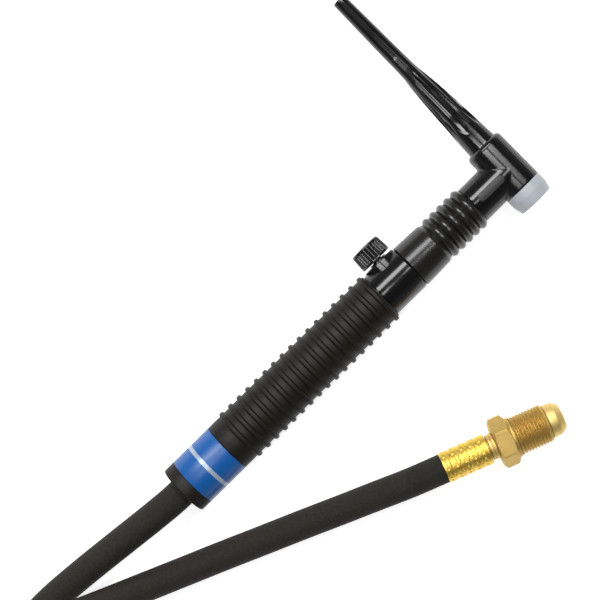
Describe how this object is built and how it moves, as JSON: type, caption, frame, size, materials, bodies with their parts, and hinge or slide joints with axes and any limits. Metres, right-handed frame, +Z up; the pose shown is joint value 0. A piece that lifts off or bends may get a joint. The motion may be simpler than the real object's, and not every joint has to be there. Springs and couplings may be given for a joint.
{
  "type": "tig torch",
  "caption": "Gas-cooled TIG welding torch: ribbed handle, gas-valve knob, flexible bellows neck, right-angle head with long fluted back cap, and a coiled hose ending in a brass nut.",
  "frame": {"origin": "on the bench, under the middle of the torch's box, measured without the hose and the connector", "axes": "+X along the handle towards the head, +Y along the head towards the tip of the back cap, +Z up from the bench the torch lies on"},
  "size_m": [0.6489, 0.2927, 0.0533],
  "materials": {
    "grip_black": "warm black moulded grip, satin",
    "gloss_black": "black phenolic and silicone mouldings, glossy",
    "label_blue": "printed blue film",
    "gasket_white": "translucent white fluoropolymer",
    "nut_brass": "dull machined brass",
    "ferrule_brass": "bright yellow brass",
    "copper": "bare copper alloy",
    "hose_rubber": "black rubber hose, fine cloth-wrapped texture",
    "seal_rubber": "nitrile seal",
    "tie_fabric": "woven hook-and-loop strap"
  },
  "bodies": {
    "handle": {"handle_grip": "grip_black", "label_band": "label_blue", "valve_housing": "gloss_black", "valve_body": "nut_brass", "valve_gland": "nut_brass", "neck_boot": "gloss_black", "cable_nut": "nut_brass", "cable_nipple": "nut_brass", "cable_ferrule": "ferrule_brass", "hose_in_handle": "hose_rubber", "power_core": "copper", "hose_lead": "hose_rubber", "hose_coil": "hose_rubber", "hose_return": "hose_rubber", "coil_tie_1": "tie_fabric", "coil_tie_2": "tie_fabric", "connector_ferrule": "ferrule_brass", "connector_nipple": "ferrule_brass"},
    "flex_neck": {"neck_tube": "copper"},
    "head": {"head_jacket": "gloss_black", "head_body": "copper", "cup_gasket": "gasket_white"},
    "stem_seal": {"stem_o_ring": "seal_rubber"},
    "valve_knob": {"valve_knob": "gloss_black", "valve_stem": "nut_brass"},
    "cap_seal": {"cap_o_ring": "seal_rubber"},
    "back_cap": {"back_cap": "gloss_black", "cap_insert": "nut_brass"},
    "connector_nut": {"connector_nut": "nut_brass"}
  },
  "joints": [
    {"name": "neck_swing", "type": "hinge", "parent": "handle", "child": "flex_neck", "pos_m": [0.0707, -0.0547, 0.01615], "axis": [0, 0, 1], "range_deg": [-30, 30], "deforming": ["neck_boot", "neck_tube"]},
    {"name": "neck_tilt", "type": "hinge", "parent": "flex_neck", "child": "head", "pos_m": [0.085, -0.0547, 0.01615], "axis": [0, 1, 0], "range_deg": [-30, 30], "deforming": ["neck_boot", "neck_tube"]},
    {"name": "valve_stem_lift", "type": "slide", "parent": "handle", "child": "stem_seal", "axis": [0, 1, 0], "range_m": [0, 0.0024]},
    {"name": "valve_knob_turn", "type": "hinge", "parent": "stem_seal", "child": "valve_knob", "pos_m": [0.0339, -0.0547, 0.01615], "axis": [0, 1, 0], "range_deg": [0, 1080]},
    {"name": "cap_lift", "type": "slide", "parent": "head", "child": "cap_seal", "axis": [0, 1, 0], "range_m": [0, 0.0089]},
    {"name": "cap_turn", "type": "hinge", "parent": "cap_seal", "child": "back_cap", "pos_m": [0.1193, -0.0547, 0.01615], "axis": [0, 1, 0], "range_deg": [0, 2520]},
    {"name": "connector_nut_spin", "type": "hinge", "parent": "handle", "child": "connector_nut", "pos_m": [-0.0203, -0.1469, 0.0127], "axis": [0.9367, -0.3502, 0], "continuous": true}
  ],
  "couplings": [
    {"joint": "valve_stem_lift", "follows": "valve_knob_turn", "m_per_rad": 0.00012732},
    {"joint": "cap_lift", "follows": "cap_turn", "m_per_rad": 0.00020212}
  ]
}
